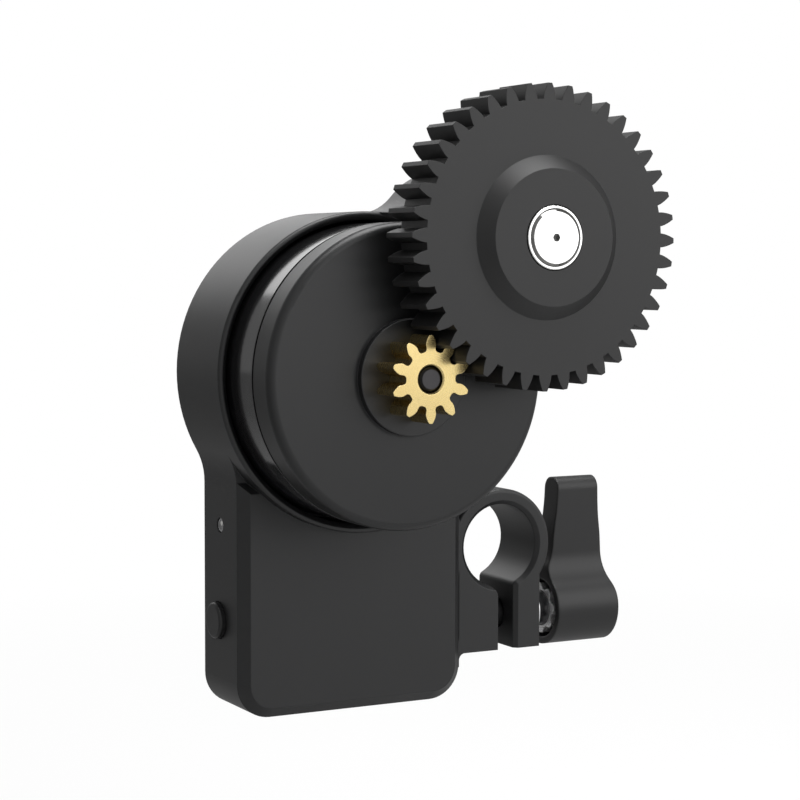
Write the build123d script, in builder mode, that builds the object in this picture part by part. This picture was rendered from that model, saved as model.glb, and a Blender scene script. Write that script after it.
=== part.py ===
from build123d import *
import os
from math import acos, cos, degrees, pi, radians, sin, sqrt, tan

os.makedirs("parts", exist_ok=True)

# Follow focus unit, in millimetres. The origin is the middle of the rod clamp's bore.
# X runs to the right, Y from front to back and Z up. Depths are values of Y.

# Rod clamp
rod_r = 5.0
clamp_wall = 1.85
rod_wall = 0.85
clamp_depth = 9.0
bore_chamfer = 0.5
clamp_edge_round = 0.45
slit_left = -0.43
slit_width = 2.36
jaw_thickness = 3.5
clamp_skirt = 7.7
fixed_lip_r = 1.8
jaw_lip_r = 0.7
jaw_shoulder_r = 2.0
block_web_r = 0.8

# Housing: motor ring, box and arm
motor_z = 21.45
ring_wall = 1.0
ring_edge_round = 0.42
ring_mouth_chamfer = 0.5
ring_depth = 13.0
housing_back = 5.6
box_left = 15.0
box_right = 13.9
box_drop = 39.25
box_front_drop = 12.25
box_depth = 11.2
box_corner_r = 4.0
box_chamfer = 1.2
box_wall = 1.8
shoulder_r = 7.5
back_chamfer = 0.7
web_thickness = 1.5
web_gap = 1.7
web_hole_inset = 1.7
rear_room_wall = 2.2
passage_width = 11.0
passage_floor = 0.4
arm_r = 8.0
arm_fillet_r = 6.0
arm_thickness = 7.05

# Rear cover and its screws
cover_thickness = 1.2
cover_rim = 0.9
cover_gap = 0.05
cover_screw_r = 1.0
cover_head_r = 1.85
cover_screw_length = 5.0
screw_socket_r = 0.65
boss_r = 2.1
boss_overlap = 0.4
ring_screw_inset = 4.5

# Gears: both of the same module
module = 0.8
pressure_angle = 20.0
gear_teeth = 40
pinion_teeth = 10
gear_angle = 49.9
gear_width = 5.8
gear_boss_r = 9.0
gear_boss_height = 1.5
pinion_overrun = 0.92
pinion_setback = 2.85
pinion_bore_chamfer = 0.16
pinion_root_round = 0.4
tooth_play = 0.06
root_depth = 1.2
pinion_first_tooth = 18.0

# Running gear of the large gear
axle_r = 2.0
axle_head_r = 3.5
axle_head_height = 1.6
axle_head_round = 0.12
axle_groove_width = 0.03
axle_groove_depth = 0.15
axle_disc_r = 3.17
axle_disc_height = 0.35
axle_socket_r = 0.45
axle_socket_depth = 0.8
head_gap = 0.1
running_gap = 0.02
axle_thread_r = 1.5
arm_floor = 1.65
bush_wall = 1.0
washer_thickness = 0.3
washer_r = 3.6
spacer_r = 2.45
side_play = 0.05

# Motor
shaft_r = 1.5
shaft_chamfer = 0.4
shaft_overrun = 0.35
can_r = 17.05
can_gap = 0.35
can_edge_round = 0.9
flux_wall = 1.45
flux_length = 12.015
bell_rim = 4.015
bell_wall = 1.6
bell_spigot = 1.4
spigot_wall = 1.0
hub_boss_r = 3.0
collar_length = 0.3
seam = 0.42
hub_r = 6.48
hub_height = 0.88
hub_edge_round = 0.12
magnet_count = 14
magnet_thickness = 1.45
magnet_length = 8.6
magnet_setback = 2.0
magnet_gap = 0.5
air_gap = 0.5
slot_count = 12
stator_length = 7.0
stator_yoke_r = 6.2
tooth_width = 1.8
shoe_thickness = 1.0
slot_mouth = 1.26
coil_gap = 0.25
coil_clearance = 0.2
yoke_clearance = 0.6
liner = 0.02
coil_overhang = 1.3
tube_wall = 1.0
tube_setback = 4.2
flange_inset = 2.45
flange_thickness = 1.5
base_screw_r = 0.85
base_head_height = 0.85
base_socket_r = 0.55
base_circle_inset = 1.8
bearing_r = 3.0
bearing_width = 2.5
bearing_setback = 0.55
bearing_shoulder = 0.5
race_wall = 0.35
shield_thickness = 0.2
balls_per_bearing = 7
bearing_gap = 0.03
clip_thickness = 0.5
clip_r = 2.4
clip_groove = 0.3
sensor_magnet_r = 2.0
sensor_magnet_length = 1.2
sensor_gap = 0.4
sensor_room = 0.7
sensor_board_thickness = 0.6
sensor_chip_height = 0.6
sensor_chip_width = 3.0
sensor_post_r = 1.4
sensor_screw_r = 0.6
sensor_head_height = 0.5
sensor_screw_grip = 0.7

# Circuit board and what it carries
board_thickness = 1.0
board_back_gap = 1.15
board_clearance = 0.35
post_r = 1.6
board_screw_r = 0.7
board_screw_length = 4.0
board_head_height = 0.7
small_head = 1.9
hole_play = 0.1
hole_spare = 0.2
capacitor_r = 1.3
capacitor_height = 3.4
led_size = 1.6
led_length = 1.4
light_height = 21.75
light_depth = 0.35
light_r = 0.9
light_pipe_length = 2.87
light_inset = 0.08
led_gap = 0.35
light_dome = 0.3
light_collar = 0.25
light_collar_length = 0.5
button_height = 10.7
button_depth = 0.8
button_r = 2.1
button_proud = 0.8
button_travel = 0.4
button_gap = 0.08
button_edge_round = 0.35
button_flange = 0.6
button_flange_thickness = 0.6
button_stem_r = 0.9
button_stem_length = 0.8
button_room = 1.4
plunger_r = 0.6
plunger_length = 1.4
plunger_gap = 0.06
switch_length = 2.2
switch_width = 3.6
switch_gap = 0.1
socket_width = 8.94
socket_thickness = 3.26
socket_length = 7.35
socket_left = 1.25
socket_gap = 0.12
socket_inset = 0.15
socket_corner_r = 1.4
socket_wall = 0.3
tongue_base = 1.5
tongue_length = 5.0
tongue_width = 6.7
tongue_thickness = 0.7

# Motor leads and sensor cable
lead_r = 0.35
lead_xs = (-1.4, 0.0, 1.4)
lead_y = 3.85
lead_below_flange = 0.9
lead_drop = 21.6
lead_bends = [1.4, 0.5]
cable_x = 2.7
cable_width = 2.4
cable_thickness = 0.2
cable_lift = 0.13
cable_grip = 2.4
cable_bend = 17.0
cable_landing = 19.6
cable_end = 23.0

# Clamp screw and lever
screw_below_rod = 3.85
screw_r = 1.75
screw_clearance = 0.25
thread_gap = 0.05
screw_reach = 4.6
screw_end_chamfer = 0.4
thread_spare = 0.3
clamp_washer_r = 3.4
clamp_washer_thickness = 0.8
hub_teeth = 8
hub_tip_r = 3.1
hub_root_r = 2.5
hub_first_tooth = -4.7
neck_step = 0.35
hub_inset = 0.05
hub_clearance = 0.55
socket_play = 0.06
lever_gap = 2.87
lever_length = 8.8
barrel_r = 4.5
lever_height = 16.3
paddle_thickness = 3.1
left_flare = [(0.0, 4.6), (0.55, 6.2), (1.0, 8.85)]
left_taper = 1.65
right_flare = [(0.0, 0.5), (0.12, 2.35), (0.5, 3.95), (0.95, 8.85)]
right_taper = 1.35
paddle_flare_r = 5.0
paddle_tip_round = 0.48
serration_length = 1.2
lever_pull = 1.4
lever_web = 0.8
spring_wire_r = 0.16
spring_coils = 3.5
spring_closed = 1.5
spring_r = 1.8
lever_screw_r = 1.2
lever_head_r = 2.2
lever_head_height = 0.8
lever_head_sunk = 0.1
lever_head_round = 0.3
lever_head_gap = 0.25
lever_socket_r = 1.0
lever_screw_grip = 2.6


# Places worked out from the sizes above, seen along the rod
clamp_outer_r = rod_r + clamp_wall
clamp_drop = rod_r + clamp_skirt
clamp_back = clamp_depth / 2
slit_right = slit_left + slit_width
jaw_right = slit_right + jaw_thickness
screw_z = -rod_r - screw_below_rod
box_right_x = -rod_r - rod_wall
motor_x = box_right_x - box_right
box_left_x = motor_x - box_left
box_bottom = motor_z - box_drop
ring_bore_r = can_r + can_gap
ring_r = ring_bore_r + ring_wall
rear_room_r = ring_r - rear_room_wall
gear_r = module * gear_teeth / 2
pinion_r = module * pinion_teeth / 2
gear_root_r = gear_r - root_depth * module
pinion_root_r = pinion_r - root_depth * module
centre_distance = gear_r + pinion_r
gear_x = motor_x + centre_distance * cos(radians(gear_angle))
gear_z = motor_z + centre_distance * sin(radians(gear_angle))
pinion_turn = pinion_first_tooth - gear_angle
gear_turn = -pinion_turn * pinion_teeth / gear_teeth
gear_first_tooth = gear_angle + 180 + 180 / gear_teeth + gear_turn

# Depths, from the back of the housing to the front of the gears
cover_front = housing_back - cover_thickness
ring_front = housing_back - ring_depth
box_front = housing_back - box_depth
cavity_front = box_front + box_wall
arm_back = ring_front + arm_thickness
sensor_board_back = cover_front - sensor_room
sensor_board_front = sensor_board_back - sensor_board_thickness
sensor_magnet_back = sensor_board_front - sensor_chip_height - sensor_gap
shaft_back = sensor_magnet_back - sensor_magnet_length
web_front = shaft_back - shaft_overrun
web_back = web_front + web_thickness
flange_front = web_front - flange_thickness
rear_bearing_back = flange_front + bearing_setback
clip_back = rear_bearing_back + side_play + clip_thickness
flux_back = web_front - web_gap
flux_front = flux_back - flux_length
magnet_front = flux_front + magnet_setback
stator_front = magnet_front + (magnet_length - stator_length) / 2
coil_front = stator_front - coil_overhang
coil_back = stator_front + stator_length + coil_overhang
bell_back = flux_front - seam
bell_front = bell_back - bell_rim
tube_front = bell_front + tube_setback
hub_front = bell_front - hub_height
gear_back = hub_front - pinion_overrun
gear_front = gear_back - gear_width
pinion_front = gear_front + pinion_setback
head_front = gear_front - side_play - axle_head_height
disc_back = head_front + axle_groove_depth
disc_front = disc_back - axle_disc_height
spacer_front = gear_back + washer_thickness + 2 * side_play
thread_back = arm_back - arm_floor
board_back = cover_front - board_back_gap
board_front = board_back - board_thickness
socket_y = board_front - socket_thickness / 2

# Radii that follow from others
flux_inner_r = can_r - flux_wall
magnet_inner_r = flux_inner_r - magnet_thickness
stator_r = magnet_inner_r - air_gap
coil_r = stator_r - shoe_thickness - coil_clearance
flange_r = coil_r - flange_inset
base_circle_r = flange_r - base_circle_inset
web_hole_r = base_circle_r - web_hole_inset
sensor_board_r = flange_r
cable_top = sensor_board_r - cable_grip
tube_r = bearing_r + tube_wall
inner_track_r = shaft_r + race_wall
outer_track_r = bearing_r - race_wall
clip_seat_r = shaft_r - clip_groove
bush_r = axle_r + running_gap + bush_wall
neck_r = screw_r + neck_step
button_flange_r = button_r + button_flange

# Places along the clamp screw and the button, and heights in the box
clamp_washer_x = jaw_right + side_play
neck_x = clamp_washer_x + clamp_washer_thickness + side_play / 2
lever_x = jaw_right + lever_gap
lever_end = lever_x + lever_length
lever_head_x = lever_end - lever_head_sunk - lever_head_height
spring_x = lever_head_x - spring_closed - lever_pull
hub_x = lever_x + hub_inset
hub_end = spring_x - lever_web - side_play
serration_x = hub_end - serration_length
light_back_x = box_left_x + light_inset + light_pipe_length
button_flange_x = box_left_x + box_wall + side_play
plunger_x = button_flange_x + button_flange_thickness + button_stem_length
switch_x = plunger_x + button_travel + switch_gap
socket_x = motor_x - socket_left
light_z = box_bottom + light_height
button_z = box_bottom + button_height
socket_top = box_bottom + socket_inset + socket_length


# Front view sketch planes: local x is X, local y is Z, and they extrude to the front
def at_depth(y):
    return Plane.XZ.offset(-y)


def motor_plane(y):
    return Plane(origin=(motor_x, y, motor_z), x_dir=(1, 0, 0), z_dir=(0, -1, 0))


def gear_plane(y):
    return Plane(origin=(gear_x, y, gear_z), x_dir=(1, 0, 0), z_dir=(0, -1, 0))


# Planes across X: local x is Y, local y is Z, and they extrude to the right
def side_plane(x, y, z):
    return Plane(origin=(x, y, z), x_dir=(0, 1, 0), z_dir=(1, 0, 0))


def screw_plane(x):
    return side_plane(x, 0, screw_z)


def save(part, name):
    part.label = name
    export_step(part, f"parts/{name}.step")
    print(f"{name}: {len(part.solids())} solid(s), {part.volume:.1f} mm3")


# Where two circles blend: the fillet's centre and its touching points, seen from the motor axis
def blend_points(r1, distance, r2, r):
    along = ((r1 + r) ** 2 - (r2 + r) ** 2 + distance**2) / (2 * distance)
    across = sqrt((r1 + r) ** 2 - along**2)
    on_first = Vector(along, across) * (r1 / (r1 + r))
    middle = Vector(along, across)
    far = Vector(distance, 0)
    on_second = far + (middle - far) * (r2 / (r2 + r))
    return on_first, middle, on_second


def turned(point, angle):
    return Vector(point.X, point.Y).rotate(Axis.Z, angle)


# Housing outline pieces, drawn from the motor axis
def box_outline(inset=0.0, top_drop=0.6 * ring_r):
    width = box_left + box_right - 2 * inset
    height = box_drop - top_drop - inset
    middle_x = (box_right - box_left) / 2
    with BuildSketch(mode=Mode.PRIVATE) as outline:
        with Locations((middle_x, -box_drop + inset)):
            Rectangle(width, height, align=(Align.CENTER, Align.MIN))
        lower = outline.vertices().group_by(Axis.Y)[0]
        fillet(lower, box_corner_r - inset)
    return outline.sketch


# The hollow blend between the ring and one side of the box
def shoulder(side, reach):
    drop = sqrt((ring_r + shoulder_r) ** 2 - (reach + shoulder_r) ** 2)
    middle = Vector(side * (reach + shoulder_r), -drop)
    on_box = Vector(side * reach, -drop)
    on_ring = middle * (ring_r / (ring_r + shoulder_r))
    between = (on_box + on_ring) * 0.5 - middle
    on_arc = middle + between.normalized() * shoulder_r
    inner_x = side * reach * 0.8
    with BuildSketch(mode=Mode.PRIVATE) as corner:
        with BuildLine():
            ThreePointArc(on_box, on_arc, on_ring)
            Polyline(on_ring, (inner_x, on_ring.Y), (inner_x, -drop), on_box)
        make_face()
    return corner.sketch


# What is cut away where the bore meets the fixed side of the slit, to round that lip
def fixed_lip_outline():
    middle_x = slit_left - fixed_lip_r
    middle = Vector(middle_x, -sqrt((rod_r + fixed_lip_r) ** 2 - middle_x**2))
    on_bore = middle * (rod_r / (rod_r + fixed_lip_r))
    on_slit = Vector(slit_left, middle.Y)
    between = (on_bore + on_slit) * 0.5 - middle
    on_arc = middle + between.normalized() * fixed_lip_r
    clear_x = slit_left + slit_width / 2
    with BuildSketch(mode=Mode.PRIVATE) as outline:
        with BuildLine():
            ThreePointArc(on_bore, on_arc, on_slit)
            Polyline(on_slit, (clear_x, on_slit.Y), (clear_x, on_bore.Y), on_bore)
        make_face()
    return outline.sketch


def rear_outline():
    with BuildSketch(mode=Mode.PRIVATE) as outline:
        Circle(ring_r)
        add(box_outline())
        add(shoulder(-1, box_left))
        add(shoulder(1, box_right))
    return outline.sketch


def arm_outline():
    on_ring, middle, on_arm = blend_points(ring_r, centre_distance, arm_r, arm_fillet_r)
    to_middle = ((on_ring + on_arm) * 0.5 - middle).normalized() * arm_fillet_r
    on_arc = middle + to_middle
    with BuildSketch(mode=Mode.PRIVATE) as outline:
        with Locations(turned(Vector(centre_distance, 0), gear_angle)):
            Circle(arm_r)
        with BuildLine():
            first = [turned(p, gear_angle) for p in (on_ring, on_arc, on_arm)]
            second = [turned(Vector(p.X, -p.Y), gear_angle) for p in (on_ring, on_arc, on_arm)]
            ThreePointArc(*first)
            Line(first[2], second[2])
            ThreePointArc(second[2], second[1], second[0])
            Line(second[0], first[0])
        make_face()
    return outline.sketch


# The room for the circuit board: the box less the ring above it
def cavity_outline(inset=0.0):
    with BuildSketch(mode=Mode.PRIVATE) as room:
        add(box_outline(box_wall + inset))
        Circle(ring_r + inset, mode=Mode.SUBTRACT)
    return room.sketch


def on_circle(r, *angles):
    return [(r * cos(radians(a)), r * sin(radians(a))) for a in angles]


# Points on the circuit board below the light, across from -1 to 1 and up from 0 to 1,
# from the motor axis
def on_board(across, up):
    room_right = box_right - box_wall
    room_left = box_left - box_wall
    room_bottom = -box_drop + box_wall
    room_top = light_z - motor_z - light_r - board_clearance
    x = (room_right - room_left) / 2 + across * (room_right + room_left) / 2
    return (x, room_bottom + up * (room_top - room_bottom))


# Screws and posts, placed from the motor axis
corner_in = box_wall + boss_r - boss_overlap
box_screws = [
    (-box_left + corner_in, -box_drop + corner_in),
    (box_right - corner_in, -box_drop + corner_in),
]
ring_screws = on_circle(ring_r - ring_screw_inset, -22.5, 90, 202.5)
cover_screws_at = box_screws + ring_screws
board_screws_at = [on_board(-0.8, 0.79), on_board(0.8, 0.79), on_board(0.8, 0.36)]
sensor_posts = on_circle(base_circle_r, 0, 180)
base_screws_at = on_circle(base_circle_r, 45, 135, 225, 315)
lead_z = -flange_r - lead_below_flange


# One gear tooth along local X, from inside the root circle to the tip
def tooth(teeth, root_r, tip_r):
    pitch_r = module * teeth / 2
    base_r = pitch_r * cos(radians(pressure_angle))
    middle_turn = pi / (2 * teeth) - tooth_play / (2 * pitch_r)

    def half_angle(r):
        steepness = acos(min(1.0, base_r / r))
        pitch_steepness = radians(pressure_angle)
        turn = tan(pitch_steepness) - pitch_steepness - tan(steepness) + steepness
        return middle_turn + turn

    start_r = max(root_r, base_r)
    radii = [start_r + (tip_r - start_r) * (step / 4) ** 1.5 for step in range(5)]
    flank = [Vector(r, 0).rotate(Axis.Z, degrees(half_angle(r))) for r in radii]
    other = [Vector(p.X, -p.Y) for p in flank]
    foot = root_r * 0.95
    foot_side = foot * sin(half_angle(start_r))
    with BuildSketch(mode=Mode.PRIVATE) as outline:
        with BuildLine():
            Line((foot, foot_side), flank[0])
            Spline(*flank)
            ThreePointArc(flank[-1], (tip_r, 0), other[-1])
            Spline(*other)
            Line(other[0], (foot, -foot_side))
            Line((foot, -foot_side), (foot, foot_side))
        make_face()
    return outline.sketch


# A shaft outline with small square-cut teeth, used for the clamp stud and the lever's socket
def serrated(root_r, tip_r, teeth):
    half = pi * root_r / teeth
    foot = (0.9 * root_r, 0.8 * half)
    tip = (tip_r, 0.3 * half)
    with BuildSketch(mode=Mode.PRIVATE) as outline:
        Circle(root_r)
        with PolarLocations(0, teeth, hub_first_tooth):
            Polygon((foot[0], -foot[1]), (tip[0], -tip[1]), tip, foot, align=None)
    return outline.sketch


def rear_places(points, y):
    return [Plane(origin=(motor_x + x, y, motor_z + z), z_dir=(0, 1, 0)) for x, z in points]


def socket_outline(inset=0.0):
    with BuildSketch(mode=Mode.PRIVATE) as outline:
        with Locations((socket_x, socket_y)):
            RectangleRounded(
                socket_width - 2 * inset,
                socket_thickness - 2 * inset,
                socket_corner_r - inset,
            )
    return outline.sketch


# Housing
with BuildPart() as housing:
    # Rod clamp: split ring with a fixed block and a jaw
    with BuildSketch(at_depth(clamp_back)) as clamp_face:
        Circle(clamp_outer_r)
        with Locations(((box_right_x + slit_left) / 2, -clamp_drop / 2)):
            Rectangle(slit_left - box_right_x, clamp_drop)
        with Locations(((slit_right + jaw_right) / 2, -clamp_drop / 2)):
            Rectangle(jaw_thickness, clamp_drop)
        with Locations((box_right_x - block_web_r / 2, -clamp_drop)):
            Rectangle(block_web_r, 4 * block_web_r)
        Circle(rod_r, mode=Mode.SUBTRACT)
        with Locations(((slit_left + slit_right) / 2, -clamp_drop / 2)):
            Rectangle(slit_width, clamp_drop, mode=Mode.SUBTRACT)
        corners = clamp_face.vertices()
        jaw_lip = corners.sort_by_distance((slit_right, -sqrt(rod_r**2 - slit_right**2)))[0]
        jaw_drop = sqrt(clamp_outer_r**2 - jaw_right**2)
        jaw_shoulder = corners.sort_by_distance((jaw_right, -jaw_drop))[0]
        fillet(jaw_lip, jaw_lip_r)
        fillet(jaw_shoulder, jaw_shoulder_r)
        web = clamp_face.vertices().sort_by_distance((box_right_x, -clamp_drop))[0]
        fillet(web, block_web_r)
    extrude(amount=clamp_depth)
    arcs = housing.edges().filter_by(GeomType.CIRCLE)
    fillet(arcs.filter_by(lambda e: abs(e.radius - clamp_outer_r) < 0.01), clamp_edge_round)
    arcs = housing.edges().filter_by(GeomType.CIRCLE)
    chamfer(arcs.filter_by(lambda e: abs(e.radius - rod_r) < 0.01), bore_chamfer)
    with BuildSketch(at_depth(clamp_back)):
        add(fixed_lip_outline())
    extrude(amount=clamp_depth, mode=Mode.SUBTRACT)
    # Box, chamfered round its front
    with BuildSketch(motor_plane(housing_back)):
        add(box_outline())
    extrude(amount=box_depth - box_chamfer)
    with BuildSketch(motor_plane(box_front + box_chamfer)):
        add(box_outline(top_drop=box_front_drop))
    extrude(amount=box_chamfer, taper=45)
    # Motor ring and the blends between it and the box
    with BuildSketch(motor_plane(housing_back)):
        add(shoulder(-1, box_left))
        add(shoulder(1, box_right))
    extrude(amount=box_depth - box_chamfer)
    with BuildSketch(motor_plane(housing_back)):
        Circle(ring_r)
    extrude(amount=ring_depth)
    chamfer(housing.faces().sort_by(Axis.Y)[-1].outer_wire().edges(), back_chamfer)
    rims = housing.edges().filter_by(GeomType.CIRCLE).group_by(Axis.Y)[0]
    fillet(rims, min(ring_edge_round, 0.42 * ring_wall))
    # Arm for the large gear
    with BuildSketch(motor_plane(arm_back)):
        add(arm_outline())
    extrude(amount=arm_thickness)
    # Room for the motor, with a chamfered mouth
    with BuildSketch(motor_plane(web_front)):
        Circle(ring_bore_r)
    extrude(amount=web_front - ring_front, mode=Mode.SUBTRACT)
    mouth = housing.edges().filter_by(GeomType.CIRCLE).group_by(Axis.Y)[0]
    mouth_edge = mouth.filter_by(lambda e: abs(e.radius - ring_bore_r) < 0.01)
    chamfer(mouth_edge, min(ring_mouth_chamfer, 0.5 * ring_wall))
    # Seat of the rear cover and the rooms behind it
    with BuildSketch(motor_plane(housing_back)):
        offset(rear_outline(), amount=-cover_rim)
    extrude(amount=cover_thickness, mode=Mode.SUBTRACT)
    with BuildSketch(motor_plane(cover_front)):
        Circle(rear_room_r)
    extrude(amount=cover_front - web_back, mode=Mode.SUBTRACT)
    with BuildSketch(motor_plane(cover_front)):
        add(cavity_outline())
    extrude(amount=cover_front - cavity_front, mode=Mode.SUBTRACT)
    # Way through from the motor's rear to the box for its leads
    with BuildSketch(motor_plane(cover_front)):
        with Locations((0, -(rear_room_r + ring_r) / 2)):
            Rectangle(passage_width, 2 * rear_room_wall)
    extrude(amount=cover_front - web_back - passage_floor, mode=Mode.SUBTRACT)
    # Openings in the web for the motor's hub and the leads
    with BuildSketch(motor_plane(web_back)):
        Circle(web_hole_r)
        with Locations((0, lead_z)):
            SlotCenterToCenter(lead_xs[-1] - lead_xs[0], 4 * lead_r)
    extrude(amount=web_thickness, mode=Mode.SUBTRACT)
    # Screw bosses and posts, with their holes
    with BuildSketch(motor_plane(cover_front)):
        with Locations(box_screws):
            Circle(boss_r)
    extrude(amount=cover_front - cavity_front)
    with BuildSketch(motor_plane(cover_front)):
        with Locations(ring_screws):
            Circle(boss_r)
    extrude(amount=cover_front - web_back)
    with BuildSketch(motor_plane(board_front)):
        with Locations(board_screws_at):
            Circle(post_r)
    extrude(amount=board_front - cavity_front)
    with BuildSketch(motor_plane(sensor_board_front)):
        with Locations(sensor_posts):
            Circle(sensor_post_r)
    extrude(amount=sensor_board_front - web_back)
    with BuildSketch(motor_plane(cover_front)):
        with Locations(cover_screws_at):
            Circle(cover_screw_r)
    extrude(amount=cover_screw_length - cover_thickness + hole_spare, mode=Mode.SUBTRACT)
    with BuildSketch(motor_plane(board_front)):
        with Locations(board_screws_at):
            Circle(board_screw_r)
    extrude(amount=board_screw_length - board_thickness + hole_spare, mode=Mode.SUBTRACT)
    with BuildSketch(motor_plane(sensor_board_front)):
        with Locations(sensor_posts):
            Circle(sensor_screw_r)
    extrude(amount=sensor_board_front - web_back + sensor_screw_grip + hole_spare, mode=Mode.SUBTRACT)
    with BuildSketch(motor_plane(web_back)):
        with Locations(base_screws_at):
            Circle(base_screw_r)
    extrude(amount=web_thickness, mode=Mode.SUBTRACT)
    # Threaded hole for the large gear's axle
    with BuildSketch(gear_plane(ring_front)):
        Circle(axle_thread_r)
    extrude(amount=ring_front - thread_back, mode=Mode.SUBTRACT)
    # Clamp screw: threaded in the block, free in the jaw
    with BuildSketch(screw_plane(slit_right)):
        Circle(screw_r + screw_clearance)
    extrude(amount=jaw_thickness, mode=Mode.SUBTRACT)
    with BuildSketch(screw_plane(slit_left)):
        Circle(screw_r + thread_gap)
    extrude(amount=-screw_reach - thread_spare, mode=Mode.SUBTRACT)
    # Openings in the box for the button, the light and the socket
    with BuildSketch(side_plane(box_left_x, button_depth, button_z)):
        Circle(button_r + button_gap)
    extrude(amount=box_wall, mode=Mode.SUBTRACT)
    with BuildSketch(side_plane(box_left_x, light_depth, light_z)):
        Circle(light_r)
    extrude(amount=box_wall, mode=Mode.SUBTRACT)
    with BuildSketch(Plane.XY.offset(box_bottom)):
        add(socket_outline(-socket_gap))
    extrude(amount=box_wall, mode=Mode.SUBTRACT)
save(housing.part, "housing")

# Rear cover, let into the housing, and its countersunk screws
with BuildPart() as rear_cover:
    with BuildSketch(motor_plane(housing_back)):
        offset(rear_outline(), amount=-cover_rim - cover_gap)
    extrude(amount=cover_thickness)
    with Locations(rear_places(cover_screws_at, housing_back)):
        CounterSinkHole(cover_screw_r + hole_play, cover_head_r + hole_play, cover_thickness, 90)
save(rear_cover.part, "rear_cover")

with BuildPart() as cover_screws:
    head_depth = cover_head_r - cover_screw_r
    for place in rear_places(cover_screws_at, housing_back):
        with BuildSketch(place.offset(-cover_screw_length)):
            Circle(cover_screw_r)
        extrude(amount=cover_screw_length - head_depth)
        with BuildSketch(place.offset(-head_depth)):
            Circle(cover_screw_r)
        extrude(amount=head_depth, taper=-45)
        with BuildSketch(place):
            RegularPolygon(screw_socket_r, 6)
        extrude(amount=-head_depth, mode=Mode.SUBTRACT)
save(cover_screws.part, "cover_screws")

# Motor: fixed side
with BuildPart() as motor_base:
    with BuildSketch(motor_plane(web_front)):
        Circle(flange_r)
    extrude(amount=flange_thickness)
    with BuildSketch(motor_plane(flange_front)):
        Circle(tube_r)
    extrude(amount=flange_front - tube_front)
    with BuildSketch(motor_plane(web_front)):
        Circle(bearing_r)
    extrude(amount=web_front - rear_bearing_back + bearing_width, mode=Mode.SUBTRACT)
    with BuildSketch(motor_plane(tube_front + bearing_width)):
        Circle(bearing_r)
    extrude(amount=bearing_width, mode=Mode.SUBTRACT)
    with BuildSketch(motor_plane(web_front)):
        Circle(bearing_r - bearing_shoulder)
    extrude(amount=web_front - tube_front, mode=Mode.SUBTRACT)
    with BuildSketch(motor_plane(web_front)):
        with Locations(base_screws_at):
            Circle(base_screw_r)
    extrude(amount=flange_thickness, mode=Mode.SUBTRACT)
save(motor_base.part, "motor_base")

with BuildPart() as base_screws:
    with BuildSketch(motor_plane(web_back + base_head_height)):
        with Locations(base_screws_at):
            Circle(small_head * base_screw_r)
    extrude(amount=base_head_height)
    with BuildSketch(motor_plane(web_back)):
        with Locations(base_screws_at):
            Circle(base_screw_r)
    extrude(amount=web_thickness + flange_thickness - thread_spare)
    with BuildSketch(motor_plane(web_back + base_head_height)):
        with Locations(base_screws_at):
            RegularPolygon(base_socket_r, 6)
    extrude(amount=base_head_height / 2, mode=Mode.SUBTRACT)
save(base_screws.part, "base_screws")

with BuildPart() as stator_core:
    with BuildSketch(motor_plane(stator_front + stator_length)):
        Circle(stator_r)
        Circle(stator_r - shoe_thickness, mode=Mode.SUBTRACT)
        with PolarLocations(stator_r, slot_count, 180 / slot_count):
            Rectangle(3 * shoe_thickness, slot_mouth, mode=Mode.SUBTRACT)
        with PolarLocations((stator_r - shoe_thickness / 2) / 2, slot_count):
            Rectangle(stator_r - shoe_thickness / 2, tooth_width)
        Circle(stator_yoke_r)
        Circle(tube_r, mode=Mode.SUBTRACT)
    extrude(amount=stator_length)
save(stator_core.part, "stator_core")

with BuildPart() as stator_coils:
    with BuildSketch(motor_plane(coil_back)):
        Circle(coil_r)
        Circle(stator_yoke_r + yoke_clearance, mode=Mode.SUBTRACT)
        with PolarLocations(stator_r / 2, slot_count, 180 / slot_count):
            Rectangle(stator_r, coil_gap, mode=Mode.SUBTRACT)
    extrude(amount=coil_back - coil_front)
    with BuildSketch(motor_plane(stator_front + stator_length + liner)):
        with PolarLocations(stator_r / 2, slot_count):
            Rectangle(stator_r, tooth_width + 2 * liner)
    extrude(amount=stator_length + 2 * liner, mode=Mode.SUBTRACT)
save(stator_coils.part, "stator_coils")

bearing_fronts = (tube_front, rear_bearing_back - bearing_width)

with BuildPart() as bearing_outer_races:
    for front in bearing_fronts:
        with BuildSketch(motor_plane(front + bearing_width)):
            Circle(bearing_r)
            Circle(outer_track_r, mode=Mode.SUBTRACT)
        extrude(amount=bearing_width)
        for shield_back in (front + shield_thickness, front + bearing_width):
            with BuildSketch(motor_plane(shield_back)):
                Circle(outer_track_r)
                Circle(inner_track_r + 2 * bearing_gap, mode=Mode.SUBTRACT)
            extrude(amount=shield_thickness)
save(bearing_outer_races.part, "bearing_outer_races")

with BuildPart() as bearing_inner_races:
    for front in bearing_fronts:
        with BuildSketch(motor_plane(front + bearing_width)):
            Circle(inner_track_r)
            Circle(shaft_r, mode=Mode.SUBTRACT)
        extrude(amount=bearing_width)
save(bearing_inner_races.part, "bearing_inner_races")

with BuildPart() as bearing_balls:
    ball_ring_r = (outer_track_r + inner_track_r) / 2
    for front in bearing_fronts:
        with Locations(motor_plane(front + bearing_width / 2)):
            with PolarLocations(ball_ring_r, balls_per_bearing):
                Sphere((outer_track_r - inner_track_r) / 2 - bearing_gap)
save(bearing_balls.part, "bearing_balls")

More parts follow.
